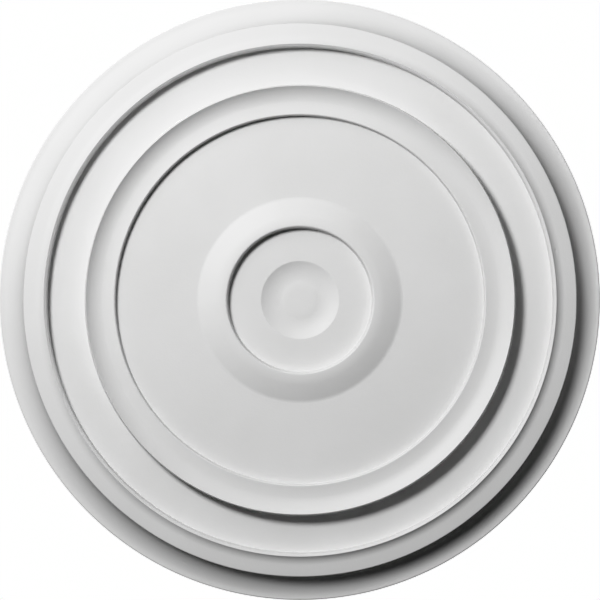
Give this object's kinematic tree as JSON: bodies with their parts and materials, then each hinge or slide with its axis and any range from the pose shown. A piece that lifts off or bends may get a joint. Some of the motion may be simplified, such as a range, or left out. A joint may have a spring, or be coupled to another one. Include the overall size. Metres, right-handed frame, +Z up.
{
  "type": "ceiling rose",
  "caption": "Round moulded ceiling rose with a coved rim, stepped rings, a flat field and a raised ring around a central recess for a lamp's canopy.",
  "frame": {"origin": "middle of the flat back, where the rose meets the ceiling", "axes": "+Z up into the ceiling, so the ringed face looks along -Z; the rose is round, so X and Y are free"},
  "size_m": [0.62, 0.62, 0.0334],
  "materials": {
    "white_primer": "matte white primer over moulded foam"
  },
  "bodies": {
    "root": {"ceiling_rose": "white_primer"}
  },
  "joints": []
}
